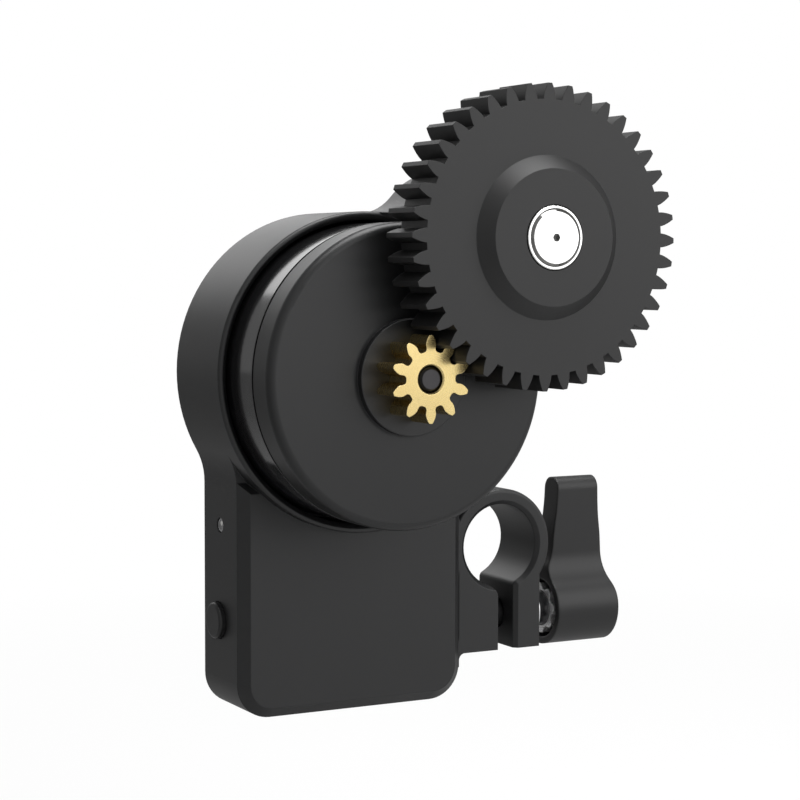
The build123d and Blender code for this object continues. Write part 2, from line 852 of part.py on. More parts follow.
# Motor: turning side
with BuildPart() as rotor_bell:
    with BuildSketch(motor_plane(bell_back)):
        Circle(can_r)
    extrude(amount=bell_rim)
    fillet(rotor_bell.faces().sort_by(Axis.Y)[0].edges(), can_edge_round)
    with BuildSketch(motor_plane(bell_front)):
        Circle(hub_r)
    extrude(amount=hub_height)
    fillet(rotor_bell.faces().sort_by(Axis.Y)[0].edges(), hub_edge_round)
    with BuildSketch(motor_plane(bell_back)):
        Circle(flux_inner_r - spigot_wall)
    extrude(amount=bell_rim - bell_wall, mode=Mode.SUBTRACT)
    with BuildSketch(motor_plane(bell_back + bell_spigot)):
        Circle(flux_inner_r)
        Circle(flux_inner_r - spigot_wall, mode=Mode.SUBTRACT)
    extrude(amount=bell_spigot)
    with BuildSketch(motor_plane(tube_front - collar_length)):
        Circle(hub_boss_r)
    extrude(amount=tube_front - collar_length - bell_front - bell_wall)
    with BuildSketch(motor_plane(tube_front)):
        Circle(inner_track_r)
    extrude(amount=collar_length)
    with BuildSketch(motor_plane(tube_front)):
        Circle(shaft_r)
    extrude(amount=tube_front - hub_front, mode=Mode.SUBTRACT)
save(rotor_bell.part, "rotor_bell")

with BuildPart() as flux_ring:
    with BuildSketch(motor_plane(flux_back)):
        Circle(can_r)
        Circle(flux_inner_r, mode=Mode.SUBTRACT)
    extrude(amount=flux_length)
save(flux_ring.part, "flux_ring")

with BuildPart() as rotor_magnets:
    with BuildSketch(motor_plane(magnet_front + magnet_length)):
        Circle(flux_inner_r)
        Circle(magnet_inner_r, mode=Mode.SUBTRACT)
        with PolarLocations(flux_inner_r, magnet_count):
            Rectangle(3 * magnet_thickness, magnet_gap, mode=Mode.SUBTRACT)
    extrude(amount=magnet_length)
save(rotor_magnets.part, "rotor_magnets")

with BuildPart() as motor_shaft:
    with BuildSketch(motor_plane(shaft_back)):
        Circle(shaft_r)
    extrude(amount=shaft_back - pinion_front)
    chamfer(motor_shaft.faces().sort_by(Axis.Y)[0].edges(), shaft_chamfer)
    with BuildSketch(motor_plane(clip_back)):
        Circle(clip_r)
        Circle(clip_seat_r, mode=Mode.SUBTRACT)
    extrude(amount=clip_thickness, mode=Mode.SUBTRACT)
save(motor_shaft.part, "motor_shaft")

with BuildPart() as shaft_clip:
    with BuildSketch(motor_plane(clip_back)):
        Circle(clip_r)
        Circle(clip_seat_r, mode=Mode.SUBTRACT)
        with Locations((0, -clip_r)):
            Rectangle(1.6 * clip_seat_r, 2 * clip_r, mode=Mode.SUBTRACT)
    extrude(amount=clip_thickness)
save(shaft_clip.part, "shaft_clip")

with BuildPart() as pinion:
    with BuildSketch(motor_plane(hub_front)) as pinion_face:
        Circle(pinion_root_r)
        with PolarLocations(0, pinion_teeth, pinion_first_tooth):
            add(tooth(pinion_teeth, pinion_root_r, pinion_r + module))
        corners = pinion_face.vertices()
        roots = corners.filter_by(lambda v: abs(v.center().length - pinion_root_r) < 0.02)
        fillet(roots, pinion_root_round)
        Circle(shaft_r, mode=Mode.SUBTRACT)
    extrude(amount=hub_front - pinion_front)
    bore_edges = pinion.faces().sort_by(Axis.Y)[0].inner_wires()[0].edges()
    chamfer(bore_edges, pinion_bore_chamfer)
save(pinion.part, "pinion")

# Position sensor behind the shaft
with BuildPart() as sensor_magnet:
    with BuildSketch(motor_plane(sensor_magnet_back)):
        Circle(sensor_magnet_r)
    extrude(amount=sensor_magnet_length)
save(sensor_magnet.part, "sensor_magnet")

with BuildPart() as sensor_board:
    with BuildSketch(motor_plane(sensor_board_back)):
        Circle(sensor_board_r)
        with Locations(ring_screws):
            Circle(boss_r + board_clearance, mode=Mode.SUBTRACT)
        with Locations(sensor_posts):
            Circle(sensor_screw_r + hole_play, mode=Mode.SUBTRACT)
    extrude(amount=sensor_board_thickness)
    with BuildSketch(motor_plane(sensor_board_front)):
        Rectangle(sensor_chip_width, sensor_chip_width)
    extrude(amount=sensor_chip_height)
save(sensor_board.part, "sensor_board")

with BuildPart() as sensor_screws:
    with BuildSketch(motor_plane(sensor_board_back + sensor_head_height)):
        with Locations(sensor_posts):
            Circle(small_head * sensor_screw_r)
    extrude(amount=sensor_head_height)
    with BuildSketch(motor_plane(sensor_board_back)):
        with Locations(sensor_posts):
            Circle(sensor_screw_r)
    extrude(amount=sensor_board_back - web_back + sensor_screw_grip)
save(sensor_screws.part, "sensor_screws")

# Circuit board in the box and the pieces on it
with BuildPart() as circuit_board:
    with BuildSketch(motor_plane(board_back)):
        add(cavity_outline(board_clearance))
        with Locations(box_screws):
            Circle(boss_r + board_clearance, mode=Mode.SUBTRACT)
        with Locations(board_screws_at):
            Circle(board_screw_r + hole_play, mode=Mode.SUBTRACT)
        with Locations((-box_left + box_wall, button_height - box_drop)):
            Rectangle(2 * button_room, 2 * (button_flange_r + board_clearance), mode=Mode.SUBTRACT)
    extrude(amount=board_thickness)
save(circuit_board.part, "circuit_board")

with BuildPart() as board_screws:
    with BuildSketch(motor_plane(board_back + board_head_height)):
        with Locations(board_screws_at):
            Circle(small_head * board_screw_r)
    extrude(amount=board_head_height)
    with BuildSketch(motor_plane(board_back)):
        with Locations(board_screws_at):
            Circle(board_screw_r)
    extrude(amount=board_screw_length)
save(board_screws.part, "board_screws")

# Driver, control and power chips, a choke and two capacitors
chips = (
    {"centre": on_board(-0.24, 0.67), "size": (5.0, 5.0), "height": 0.9},
    {"centre": on_board(0.36, 0.65), "size": (4.0, 4.0), "height": 0.9},
    {"centre": on_board(0.48, 0.33), "size": (3.6, 4.0), "height": 2.0},
    {"centre": on_board(-0.7, 0.26), "size": (2.4, 1.6), "height": 1.2},
    {"centre": on_board(0.07, 0.87), "size": (3.2, 1.6), "height": 1.0},
)
capacitors_at = [on_board(-0.45, 0.88), on_board(0.72, 0.57)]

with BuildPart() as board_chips:
    for chip in chips:
        with BuildSketch(motor_plane(board_front)):
            with Locations(chip["centre"]):
                Rectangle(*chip["size"])
        extrude(amount=chip["height"])
    with BuildSketch(motor_plane(board_front)):
        with Locations(capacitors_at):
            Circle(capacitor_r)
    extrude(amount=capacitor_height)
save(board_chips.part, "board_chips")

with BuildPart() as status_led:
    with BuildSketch(side_plane(light_back_x + led_gap, board_front - led_size / 2, light_z)):
        Rectangle(led_size, led_size)
    extrude(amount=led_length)
save(status_led.part, "status_led")

with BuildPart() as light_pipe:
    with BuildSketch(side_plane(box_left_x + light_inset, light_depth, light_z)):
        Circle(light_r)
    extrude(amount=light_pipe_length)
    fillet(light_pipe.faces().sort_by(Axis.X)[0].edges(), light_dome)
    with BuildSketch(side_plane(box_left_x + box_wall, light_depth, light_z)):
        Circle(light_r + light_collar)
    extrude(amount=light_collar_length)
save(light_pipe.part, "light_pipe")

with BuildPart() as function_button:
    with BuildSketch(side_plane(box_left_x - button_proud, button_depth, button_z)):
        Circle(button_r)
    extrude(amount=button_proud + box_wall + side_play)
    fillet(function_button.faces().sort_by(Axis.X)[0].edges(), button_edge_round)
    with BuildSketch(side_plane(button_flange_x, button_depth, button_z)):
        Circle(button_flange_r)
    extrude(amount=button_flange_thickness)
    with BuildSketch(side_plane(button_flange_x + button_flange_thickness, button_depth, button_z)):
        Circle(button_stem_r)
    extrude(amount=plunger_x - button_flange_x - button_flange_thickness)
save(function_button.part, "function_button")

with BuildPart() as switch_plunger:
    with BuildSketch(side_plane(plunger_x, button_depth, button_z)):
        Circle(plunger_r)
    extrude(amount=plunger_length)
save(switch_plunger.part, "switch_plunger")

with BuildPart() as side_switch:
    with BuildSketch(side_plane(switch_x, button_depth, button_z)):
        Rectangle(2 * (board_front - button_depth), switch_width)
    extrude(amount=switch_length)
    with BuildSketch(side_plane(switch_x, button_depth, button_z)):
        Circle(plunger_r + plunger_gap)
    extrude(amount=plunger_length, mode=Mode.SUBTRACT)
save(side_switch.part, "side_switch")

with BuildPart() as usb_shell:
    with BuildSketch(Plane.XY.offset(socket_top)):
        add(socket_outline())
        add(socket_outline(socket_wall), mode=Mode.SUBTRACT)
    extrude(amount=-socket_length)
save(usb_shell.part, "usb_shell")

with BuildPart() as usb_tongue:
    with BuildSketch(Plane.XY.offset(socket_top)):
        add(socket_outline(socket_wall))
    extrude(amount=-tongue_base)
    with BuildSketch(Plane.XY.offset(socket_top - tongue_base)):
        with Locations((socket_x, socket_y)):
            Rectangle(tongue_width, tongue_thickness)
    extrude(amount=-tongue_length)
save(usb_tongue.part, "usb_tongue")

# Leads from the coils, through the web, down behind the board
with BuildPart() as motor_leads:
    for x in lead_xs:
        lead_x = motor_x + x
        top_z = motor_z + lead_z
        low_z = motor_z - lead_drop
        with BuildLine() as run:
            FilletPolyline(
                (lead_x, coil_back, top_z),
                (lead_x, lead_y, top_z),
                (lead_x, lead_y, low_z),
                (lead_x, board_back, low_z),
                radius=lead_bends,
            )
        with BuildSketch(Plane(origin=(lead_x, coil_back, top_z), z_dir=(0, 1, 0))):
            Circle(lead_r)
        sweep(path=run.line)
save(motor_leads.part, "motor_leads")

with BuildPart() as sensor_cable:
    with BuildSketch(side_plane(motor_x + cable_x, 0, motor_z)):
        with BuildLine():
            Polyline(
                (sensor_board_back + cable_lift, -cable_top),
                (sensor_board_back + cable_lift, -cable_bend),
                (board_back + cable_lift, -cable_landing),
                (board_back + cable_lift, -cable_end),
            )
        trace(line_width=cable_thickness)
    extrude(amount=cable_width)
save(sensor_cable.part, "sensor_cable")

# Large gear and what it runs on
with BuildPart() as drive_gear:
    with BuildSketch(gear_plane(gear_back)):
        Circle(gear_root_r)
        with PolarLocations(0, gear_teeth, gear_first_tooth):
            add(tooth(gear_teeth, gear_root_r, gear_r + module))
    extrude(amount=gear_width)
    with BuildSketch(gear_plane(gear_front)):
        Circle(gear_boss_r)
    extrude(amount=gear_boss_height, taper=45)
    with BuildSketch(gear_plane(gear_front)):
        Circle(axle_head_r + head_gap)
    extrude(amount=gear_boss_height, mode=Mode.SUBTRACT)
    with BuildSketch(gear_plane(gear_back)):
        Circle(bush_r)
    extrude(amount=gear_width, mode=Mode.SUBTRACT)
save(drive_gear.part, "drive_gear")

with BuildPart() as gear_bush:
    with BuildSketch(gear_plane(gear_back)):
        Circle(bush_r)
        Circle(axle_r + running_gap, mode=Mode.SUBTRACT)
    extrude(amount=gear_width)
save(gear_bush.part, "gear_bush")

with BuildPart() as gear_axle:
    with BuildSketch(gear_plane(head_front + axle_head_height)):
        Circle(axle_head_r)
    extrude(amount=axle_head_height)
    fillet(gear_axle.faces().sort_by(Axis.Y)[0].edges(), axle_head_round)
    with BuildSketch(gear_plane(disc_back)):
        Circle(axle_disc_r + axle_groove_width)
    extrude(amount=axle_groove_depth, mode=Mode.SUBTRACT)
    with BuildSketch(gear_plane(disc_back)):
        Circle(axle_disc_r)
    extrude(amount=axle_disc_height, taper=45)
    with BuildSketch(gear_plane(disc_front)):
        RegularPolygon(axle_socket_r, 6)
    extrude(amount=-axle_socket_depth, mode=Mode.SUBTRACT)
    with BuildSketch(gear_plane(spacer_front)):
        Circle(axle_r)
    extrude(amount=spacer_front - head_front - axle_head_height)
    with BuildSketch(gear_plane(thread_back - hole_spare)):
        Circle(axle_thread_r)
    extrude(amount=thread_back - hole_spare - spacer_front)
save(gear_axle.part, "gear_axle")

with BuildPart() as gear_washer:
    with BuildSketch(gear_plane(spacer_front - side_play)):
        Circle(washer_r)
        Circle(axle_r + side_play, mode=Mode.SUBTRACT)
    extrude(amount=washer_thickness)
save(gear_washer.part, "gear_washer")

with BuildPart() as axle_spacer:
    with BuildSketch(gear_plane(ring_front)):
        Circle(spacer_r)
        Circle(axle_thread_r + side_play, mode=Mode.SUBTRACT)
    extrude(amount=ring_front - spacer_front)
save(axle_spacer.part, "axle_spacer")

# Clamp screw, its washer, the indexing lever, its spring and its screw
with BuildPart() as clamp_stud:
    with BuildSketch(screw_plane(slit_left - screw_reach)):
        Circle(screw_r)
    extrude(amount=neck_x - slit_left + screw_reach)
    chamfer(clamp_stud.faces().sort_by(Axis.X)[0].edges(), screw_end_chamfer)
    with BuildSketch(screw_plane(neck_x)):
        Circle(neck_r)
    extrude(amount=hub_x - neck_x)
    with BuildSketch(screw_plane(hub_x)):
        add(serrated(hub_root_r, hub_tip_r, hub_teeth))
    extrude(amount=hub_end - hub_x)
    with BuildSketch(screw_plane(hub_end)):
        Circle(lever_screw_r)
    extrude(amount=-lever_screw_grip - hole_spare, mode=Mode.SUBTRACT)
save(clamp_stud.part, "clamp_stud")

with BuildPart() as clamp_washer:
    with BuildSketch(screw_plane(clamp_washer_x)):
        Circle(clamp_washer_r)
        Circle(screw_r + side_play, mode=Mode.SUBTRACT)
    extrude(amount=clamp_washer_thickness)
save(clamp_washer.part, "clamp_washer")

left_side = [(lever_x + inset, height) for inset, height in left_flare]
left_side.append((lever_x + left_taper, lever_height))
right_side = [(lever_end - inset, height) for inset, height in right_flare]
right_side.append((lever_end - right_taper, lever_height))

with BuildPart() as clamp_lever:
    with BuildSketch(screw_plane(lever_x)) as lever_side:
        Circle(barrel_r)
        with Locations((0, lever_height / 2)):
            Rectangle(paddle_thickness, lever_height)
        meeting = (paddle_thickness / 2, sqrt(barrel_r**2 - paddle_thickness**2 / 4))
        for place in (meeting, (-meeting[0], meeting[1])):
            fillet(lever_side.vertices().sort_by_distance(place)[0], paddle_flare_r)
        fillet(lever_side.vertices().group_by(Axis.Y)[-1], paddle_tip_round * paddle_thickness)
    extrude(amount=lever_length)
    with BuildSketch(at_depth(barrel_r).shift_origin((0, barrel_r, screw_z))):
        with BuildLine():
            left = Spline(*left_side, tangents=((0, 1), (0, 1)))
            right = Spline(*right_side, tangents=((0, 1), (0, 1)))
            Line(left @ 1, right @ 1)
            Polyline(left @ 0, (lever_x, -barrel_r), (lever_end, -barrel_r), right @ 0)
        make_face()
    extrude(amount=2 * barrel_r, mode=Mode.INTERSECT)
    with BuildSketch(screw_plane(lever_x)):
        Circle(hub_tip_r + hub_clearance)
    extrude(amount=serration_x - lever_x, mode=Mode.SUBTRACT)
    with BuildSketch(screw_plane(serration_x)):
        add(serrated(hub_root_r + socket_play, hub_tip_r + socket_play, hub_teeth))
    extrude(amount=hub_end + side_play - serration_x, mode=Mode.SUBTRACT)
    with BuildSketch(screw_plane(lever_x)):
        Circle(lever_screw_r + hole_play)
    extrude(amount=lever_length, mode=Mode.SUBTRACT)
    with BuildSketch(screw_plane(spring_x)):
        Circle(lever_head_r + lever_head_gap)
    extrude(amount=lever_end - spring_x, mode=Mode.SUBTRACT)
save(clamp_lever.part, "clamp_lever")

with BuildPart() as lever_spring:
    with BuildLine() as coil:
        turn_length = lever_head_x - spring_x - 2 * spring_wire_r - 2 * side_play
        start = (spring_x + spring_wire_r + side_play, 0, screw_z)
        Helix(turn_length / spring_coils, turn_length, spring_r, center=start, direction=(1, 0, 0))
    with BuildSketch(Plane(origin=coil.line @ 0, z_dir=coil.line % 0)):
        Circle(spring_wire_r)
    sweep(path=coil.line)
save(lever_spring.part, "lever_spring")

with BuildPart() as lever_screw:
    with BuildSketch(screw_plane(lever_head_x)):
        Circle(lever_head_r)
    extrude(amount=lever_head_height)
    fillet(lever_screw.faces().sort_by(Axis.X)[-1].edges(), lever_head_round)
    with BuildSketch(screw_plane(lever_head_x + lever_head_height)):
        RegularPolygon(lever_socket_r, 6)
    extrude(amount=-lever_head_height / 2, mode=Mode.SUBTRACT)
    with BuildSketch(screw_plane(hub_end - lever_screw_grip)):
        Circle(lever_screw_r)
    extrude(amount=lever_head_x - hub_end + lever_screw_grip)
save(lever_screw.part, "lever_screw")
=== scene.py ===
import math

import bpy
from mathutils import Euler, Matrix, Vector


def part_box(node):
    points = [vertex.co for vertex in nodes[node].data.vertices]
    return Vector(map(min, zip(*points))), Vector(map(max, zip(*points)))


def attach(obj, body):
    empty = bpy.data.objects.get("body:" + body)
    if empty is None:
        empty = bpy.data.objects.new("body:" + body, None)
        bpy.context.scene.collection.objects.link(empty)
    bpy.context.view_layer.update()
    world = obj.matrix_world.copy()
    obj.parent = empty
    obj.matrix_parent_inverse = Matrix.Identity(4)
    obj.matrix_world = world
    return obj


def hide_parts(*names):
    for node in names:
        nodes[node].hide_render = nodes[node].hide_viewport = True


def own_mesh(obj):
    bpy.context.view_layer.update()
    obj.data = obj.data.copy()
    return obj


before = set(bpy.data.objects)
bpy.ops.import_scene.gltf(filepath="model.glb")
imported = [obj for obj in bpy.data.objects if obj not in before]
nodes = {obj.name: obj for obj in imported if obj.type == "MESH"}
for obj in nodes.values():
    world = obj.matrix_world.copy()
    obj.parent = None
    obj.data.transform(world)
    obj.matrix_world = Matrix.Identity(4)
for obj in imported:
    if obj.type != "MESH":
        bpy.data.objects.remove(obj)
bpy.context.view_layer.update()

print("frame loaded:", len(nodes), "pieces")

mm = 0.001  # every place and size below is in millimetres

# camera, floor and light
cameraSetup = {
    "place": (-126.62, -214.21, 33.70),
    "turn": (86.228, -0.141, -28.235),
    "lens": 91.83,
    "sensor": 36.0,
    "near": 10.0,
    "far": 20000.0,
}
stageSetup = {
    "floorHeight": -45.0,
    "floorSize": 6000.0,
    "shadowReach": 260.0,  # past this the floor is plain white
    "shadowStart": 0.3,  # share of the reach at which the shadow begins to fade
    "shadowShare": 0.25,
    "floorRoughness": 0.9,
    "floorColour": (0.8, 0.8, 0.8, 1.0),
    "worldLevel": 0.4,
    "brightWay": (0.45, -0.89, 0.0),  # mirrors see the studio brightest this way
    "brightRange": (-0.35, 0.85),  # from where to where along it the levels below rise
    "wallLevels": (0.4, 0.78),
    "floorLevels": (0.22, 0.68),
}
lampSetup = {
    "back": {"place": (20, 420, 210), "size": (300, 190), "watts": 0.32, "aim": (-10, 0, 20)},
    "top": {"place": (30, -30, 320), "size": (260, 200), "watts": 1.1, "aim": (-10, 0, 20)},
    "front": {"place": (190, -300, 150), "size": (380, 280), "watts": 0.52, "aim": (-10, 0, 15)},
}


def makeCamera(setup):
    data = bpy.data.cameras.new("camera")
    data.lens = setup["lens"]
    data.sensor_width = setup["sensor"]
    data.clip_start = setup["near"] * mm
    data.clip_end = setup["far"] * mm
    camera = bpy.data.objects.new("camera", data)
    camera.location = Vector(setup["place"]) * mm
    camera.rotation_euler = Euler([math.radians(a) for a in setup["turn"]])
    bpy.context.collection.objects.link(camera)
    bpy.context.scene.camera = camera


# small helpers for node trees
def addNode(tree, kind, settings=None, **values):
    node = tree.nodes.new("ShaderNode" + kind)
    for key, value in (settings or {}).items():
        setattr(node, key, value)
    for key, value in values.items():
        socket = node.inputs[int(key[2:])] if key.startswith("in") else node.inputs[key]
        setSocket(tree, socket, value)
    return node


def setSocket(tree, socket, value):
    if isinstance(value, bpy.types.NodeSocket):
        tree.links.new(value, socket)
    else:
        socket.default_value = value


def calc(tree, operation, first, second=0.0, third=None):
    node = addNode(tree, "Math", {"operation": operation}, in0=first, in1=second)
    if third is not None:
        setSocket(tree, node.inputs[2], third)
    return node.outputs[0]


def mixColour(tree, share, first, second):
    node = addNode(tree, "Mix", {"data_type": "RGBA"}, in0=share, in6=first, in7=second)
    return node.outputs[2]


# value from first to last, clamped, becomes low to high
def ramp(tree, value, first, last, low, high):
    node = addNode(tree, "MapRange", None, in0=value, in1=first, in2=last, in3=low, in4=high)
    return node.outputs[0]


def spread(tree, value, low, high):
    return ramp(tree, value, 0.0, 1.0, low, high)


def shade(value):
    return (value[0], value[1], value[2], 1.0)


# how much of the stage is looked at, by the camera, a mirror or glass, and how bright it looks:
# white, or the given level in a mirror
def seenStage(tree, mirrorShare):
    path = addNode(tree, "LightPath")
    straight = calc(tree, "MAXIMUM", path.outputs["Is Camera Ray"], path.outputs["Is Transmission Ray"])
    mirror = calc(tree, "MULTIPLY", path.outputs["Is Glossy Ray"], mirrorShare)
    looked = calc(tree, "MAXIMUM", straight, path.outputs["Is Glossy Ray"])
    return looked, calc(tree, "MAXIMUM", straight, mirror)


# how bright a mirror sees the studio that way
def mirrorLevel(tree, way, setup, levels):
    towards = addNode(tree, "VectorMath", {"operation": "DOT_PRODUCT"}, in0=way, in1=setup["brightWay"])
    first, last = setup["brightRange"]
    return ramp(tree, towards.outputs["Value"], first, last, levels[0], levels[1])


def makeWorld(setup):
    world = bpy.data.worlds.new("studio")
    world.use_nodes = True
    bpy.context.scene.world = world
    tree = world.node_tree
    tree.nodes.clear()
    light = addNode(tree, "Background", None, Color=(1, 1, 1, 1), Strength=setup["worldLevel"])
    way = addNode(tree, "TexCoord").outputs["Generated"]
    looked, level = seenStage(tree, mirrorLevel(tree, way, setup, setup["wallLevels"]))
    seen = addNode(tree, "Background", None, Color=(1, 1, 1, 1), Strength=level)
    mix = addNode(tree, "MixShader", None, in0=looked, in1=light.outputs[0], in2=seen.outputs[0])
    addNode(tree, "OutputWorld", None, Surface=mix.outputs[0])


def makeLamps(setup):
    for name, lamp in setup.items():
        data = bpy.data.lights.new(name + "Lamp", "AREA")
        data.shape = "RECTANGLE"
        data.size, data.size_y = (s * mm for s in lamp["size"])
        data.energy = lamp["watts"]
        obj = bpy.data.objects.new(name + "Lamp", data)
        obj.location = Vector(lamp["place"]) * mm
        aim = Vector(lamp["aim"]) * mm - obj.location
        obj.rotation_euler = aim.to_track_quat("-Z", "Y").to_euler()
        bpy.context.collection.objects.link(obj)


def makeFloor(setup):
    half = setup["floorSize"] * mm / 2
    z = setup["floorHeight"] * mm
    mesh = bpy.data.meshes.new("floor")
    corners = [(-half, -half, z), (half, -half, z), (half, half, z), (-half, half, z)]
    mesh.from_pydata(corners, [], [(0, 1, 2, 3)])
    floor = bpy.data.objects.new("floor", mesh)
    bpy.context.collection.objects.link(floor)
    material = bpy.data.materials.new("paleFloor")
    material.use_nodes = True
    tree = material.node_tree
    matt = tree.nodes["Principled BSDF"]
    matt.inputs["Base Color"].default_value = setup["floorColour"]
    matt.inputs["Roughness"].default_value = setup["floorRoughness"]
    place = addNode(tree, "TexCoord").outputs["Object"]
    far = addNode(tree, "VectorMath", {"operation": "LENGTH"}, in0=place).outputs["Value"]
    reach = setup["shadowReach"] * mm
    white = ramp(tree, far, setup["shadowStart"] * reach, reach, 1 - setup["shadowShare"], 1.0)
    way = addNode(tree, "VectorMath", {"operation": "NORMALIZE"}, in0=place).outputs[0]
    looked, level = seenStage(tree, mirrorLevel(tree, way, setup, setup["floorLevels"]))
    glow = addNode(tree, "Emission", None, Strength=level)
    share = calc(tree, "MULTIPLY", white, looked)
    mix = addNode(tree, "MixShader", None, in0=share, in1=matt.outputs[0], in2=glow.outputs[0])
    tree.links.new(mix.outputs[0], tree.nodes["Material Output"].inputs["Surface"])
    mesh.materials.append(material)


makeCamera(cameraSetup)
makeWorld(stageSetup)
makeLamps(lampSetup)
makeFloor(stageSetup)
print("camera, lamps and floor made")


# shared effects, each built once as a node group
def newGroup(name, inputs, outputs):
    group = bpy.data.node_groups.new(name, "ShaderNodeTree")
    for label, kind, value in inputs:
        socket = group.interface.new_socket(label, in_out="INPUT", socket_type="NodeSocket" + kind)
        socket.default_value = value
    for label, kind in outputs:
        group.interface.new_socket(label, in_out="OUTPUT", socket_type="NodeSocket" + kind)
    entry = group.nodes.new("NodeGroupInput")
    leave = group.nodes.new("NodeGroupOutput")
    return group, entry.outputs, leave.inputs


def placeInMm(tree):
    place = addNode(tree, "TexCoord").outputs["Object"]
    return addNode(tree, "VectorMath", {"operation": "SCALE"}, in0=place, Scale=1000.0).outputs[0]


# fine grain of blasted, moulded or cast surfaces, with slow blotches and a few specks in them
grainSetup = {
    "grainDetail": 3.0,
    "grainRoughness": 0.6,
    "blotchDetail": 4.0,
    "blotchRoughness": 0.55,
    "speckDensity": 0.11,
    "speckSize": 0.07,
    "speckPatches": (0.5, 0.68),
}


def makeGrainGroup(setup):
    group, entry, leave = newGroup(
        "fineGrain",
        [("Grain Size", "Float", 0.12), ("Blotch Size", "Float", 9.0)],
        [("Grain", "Float"), ("Blotches", "Float"), ("Specks", "Float")],
    )
    place = placeInMm(group)
    fine = calc(group, "DIVIDE", 1.0, entry["Grain Size"])
    slow = calc(group, "DIVIDE", 1.0, entry["Blotch Size"])
    grain = addNode(group, "TexNoise", None, Vector=place, Scale=fine)
    grain.inputs["Detail"].default_value = setup["grainDetail"]
    grain.inputs["Roughness"].default_value = setup["grainRoughness"]
    blotches = addNode(group, "TexNoise", None, Vector=place, Scale=slow)
    blotches.inputs["Detail"].default_value = setup["blotchDetail"]
    blotches.inputs["Roughness"].default_value = setup["blotchRoughness"]
    sparse = calc(group, "MULTIPLY", fine, setup["speckDensity"])
    dots = addNode(group, "TexVoronoi", {"feature": "F1"}, Vector=place, Scale=sparse)
    near = ramp(group, dots.outputs["Distance"], 0.0, setup["speckSize"], 1.0, 0.0)
    patchy = ramp(group, blotches.outputs["Fac"], *setup["speckPatches"], 0.0, 1.0)
    group.links.new(grain.outputs["Fac"], leave["Grain"])
    group.links.new(blotches.outputs["Fac"], leave["Blotches"])
    group.links.new(calc(group, "MULTIPLY", near, patchy), leave["Specks"])
    return group


# rings left by a lathe round an axis along Y or X, with the distance from that axis
ringSetup = {
    "sideShare": 0.83,  # how fast the rings follow along the axis, against across a face
    "detail": 2.0,
}


def makeLatheGroup(name, across, setup):
    group, entry, leave = newGroup(
        name,
        [("Centre", "Vector", (0, 0, 0)), ("Pitch", "Float", 0.08)],
        [("Rings", "Float"), ("Radius", "Float")],
    )
    place = placeInMm(group)
    offset = addNode(group, "VectorMath", {"operation": "SUBTRACT"}, in0=place, in1=entry["Centre"])
    parts = addNode(group, "SeparateXYZ", None, in0=offset.outputs[0])
    first, second, along = (parts.outputs[label] for label in across)
    squares = calc(group, "MULTIPLY_ADD", first, first, calc(group, "MULTIPLY", second, second))
    radius = calc(group, "SQRT", squares)
    # a side wall shows rings along the axis, a face shows them round it
    walk = calc(group, "MULTIPLY_ADD", along, setup["sideShare"], radius)
    turns = calc(group, "DIVIDE", walk, entry["Pitch"])
    rings = addNode(group, "TexNoise", {"noise_dimensions": "1D"}, W=turns, Scale=1.0)
    rings.inputs["Detail"].default_value = setup["detail"]
    group.links.new(rings.outputs["Fac"], leave["Rings"])
    group.links.new(radius, leave["Radius"])
    return group


# rounded edges: a mask along them and the softened normal
edgeSetup = {
    "samples": 6,
    "edgeAngle": (0.995, 0.8),  # cosine between true and softened normal, flat to full edge
}


def makeEdgeGroup(setup):
    group, entry, leave = newGroup(
        "roundedEdges",
        [("Radius", "Float", 0.2)],
        [("Edge", "Float"), ("Normal", "Vector")],
    )
    radius = calc(group, "MULTIPLY", entry["Radius"], mm)
    soft = addNode(group, "Bevel", {"samples": setup["samples"]}, Radius=radius)
    flat = addNode(group, "NewGeometry").outputs["Normal"]
    same = addNode(group, "VectorMath", {"operation": "DOT_PRODUCT"}, in0=soft.outputs[0], in1=flat)
    edge = ramp(group, same.outputs["Value"], *setup["edgeAngle"], 0.0, 1.0)
    group.links.new(edge, leave["Edge"])
    group.links.new(soft.outputs[0], leave["Normal"])
    return group


# light handling marks: thin scratches in patches
marksSetup = {
    "bendScale": 0.15,
    "bend": (6, 6, 6),
    "turn": (0.5, 0.9, 0.3),
    "stretch": (4.0, 0.16, 4.0),
    "lineRange": (0.66, 0.7),
    "patchScale": 0.08,
    "patchRange": (0.5, 0.65),
}


def makeMarksGroup(setup):
    group, entry, leave = newGroup("handlingMarks", [("Scale", "Float", 0.5)], [("Marks", "Float")])
    place = placeInMm(group)
    waves = addNode(group, "TexNoise", None, Vector=place, Scale=setup["bendScale"], Detail=2.0)
    bend = {"in0": waves.outputs["Color"], "in1": setup["bend"], "in2": place}
    moved = addNode(group, "VectorMath", {"operation": "MULTIPLY_ADD"}, **bend).outputs[0]
    turned = addNode(group, "Mapping", None, Vector=moved, Rotation=setup["turn"], Scale=setup["stretch"])
    lines = addNode(group, "TexNoise", None, Vector=turned.outputs[0], Scale=entry["Scale"], Detail=1.0)
    where = addNode(group, "TexNoise", None, Vector=place, Scale=setup["patchScale"], Detail=1.0)
    thin = ramp(group, lines.outputs["Fac"], *setup["lineRange"], 0.0, 1.0)
    patch = ramp(group, where.outputs["Fac"], *setup["patchRange"], 0.0, 1.0)
    group.links.new(calc(group, "MULTIPLY", thin, patch), leave["Marks"])
    return group


grainGroup = makeGrainGroup(grainSetup)
latheFront = makeLatheGroup("latheRingsFront", ("X", "Z", "Y"), ringSetup)
latheSide = makeLatheGroup("latheRingsSide", ("Y", "Z", "X"), ringSetup)
edgeGroup = makeEdgeGroup(edgeSetup)
marksGroup = makeMarksGroup(marksSetup)
print("shared effects made")


